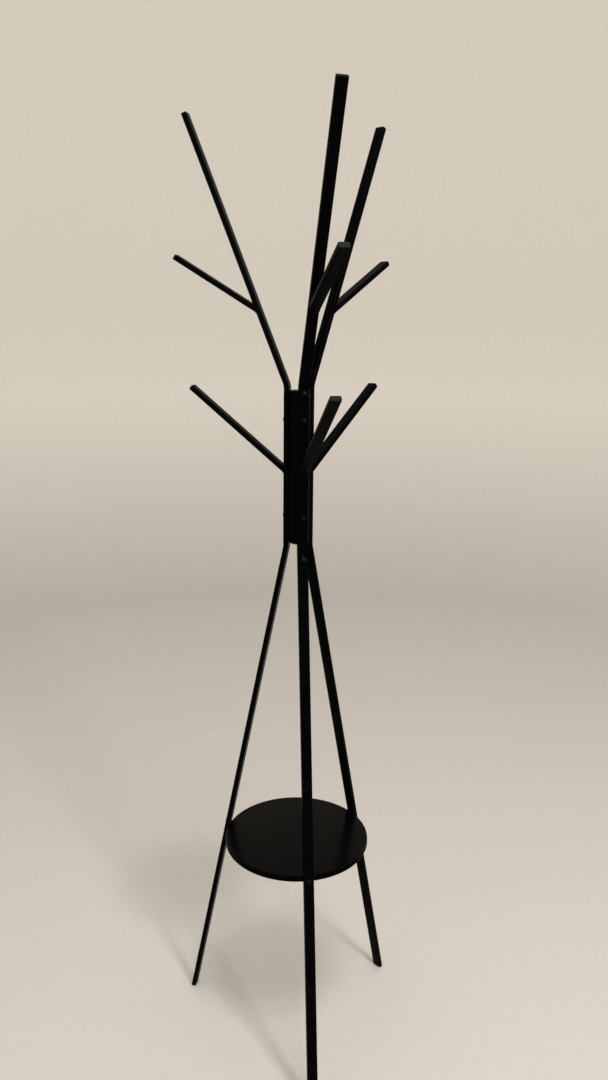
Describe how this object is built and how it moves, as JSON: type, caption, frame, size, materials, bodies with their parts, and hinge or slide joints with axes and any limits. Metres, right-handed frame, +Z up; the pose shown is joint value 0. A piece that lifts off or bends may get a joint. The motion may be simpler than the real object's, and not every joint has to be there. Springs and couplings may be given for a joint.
{
  "type": "coat stand",
  "caption": "Free-standing tree coat stand: three bent flat-tube uprights screwed to a short core, each with two upward branches, and a round shelf between the splayed legs.",
  "frame": {"origin": "middle of the bottom of the bounding box, on the floor; the core's axis passes close to it", "axes": "+Z up, along the core; -Y towards the front upright"},
  "size_m": [0.4542, 0.4168, 1.8474],
  "materials": {
    "black_coat": "satin",
    "black_screw": "satin",
    "plain_steel": "satin",
    "shelf_board": "satin",
    "black_plastic": "matte"
  },
  "bodies": {
    "root": {"hub_screw_front_1": "black_screw", "core_nut_front_1": "plain_steel", "hub_screw_front_2": "black_screw", "core_nut_front_2": "plain_steel", "shelf_screw_front": "black_screw", "upright_front": "black_coat", "arm_plug_front": "black_plastic", "lower_leg_front": "black_coat", "leg_joiner_front": "plain_steel", "foot_pad_front": "black_plastic", "upper_branch_front": "black_coat", "upper_branch_plug_front": "black_plastic", "lower_branch_front": "black_coat", "lower_branch_plug_front": "black_plastic", "hub_screw_right_1": "black_screw", "core_nut_right_1": "plain_steel", "hub_screw_right_2": "black_screw", "core_nut_right_2": "plain_steel", "shelf_screw_right": "black_screw", "upright_right": "black_coat", "arm_plug_right": "black_plastic", "lower_leg_right": "black_coat", "leg_joiner_right": "plain_steel", "foot_pad_right": "black_plastic", "upper_branch_right": "black_coat", "upper_branch_plug_right": "black_plastic", "lower_branch_right": "black_coat", "lower_branch_plug_right": "black_plastic", "hub_screw_left_1": "black_screw", "core_nut_left_1": "plain_steel", "hub_screw_left_2": "black_screw", "core_nut_left_2": "plain_steel", "shelf_screw_left": "black_screw", "upright_left": "black_coat", "arm_plug_left": "black_plastic", "lower_leg_left": "black_coat", "leg_joiner_left": "plain_steel", "foot_pad_left": "black_plastic", "upper_branch_left": "black_coat", "upper_branch_plug_left": "black_plastic", "lower_branch_left": "black_coat", "lower_branch_plug_left": "black_plastic", "core_tube": "black_coat", "core_cap_top": "black_plastic", "core_cap_bottom": "black_plastic", "shelf": "shelf_board"}
  },
  "joints": []
}
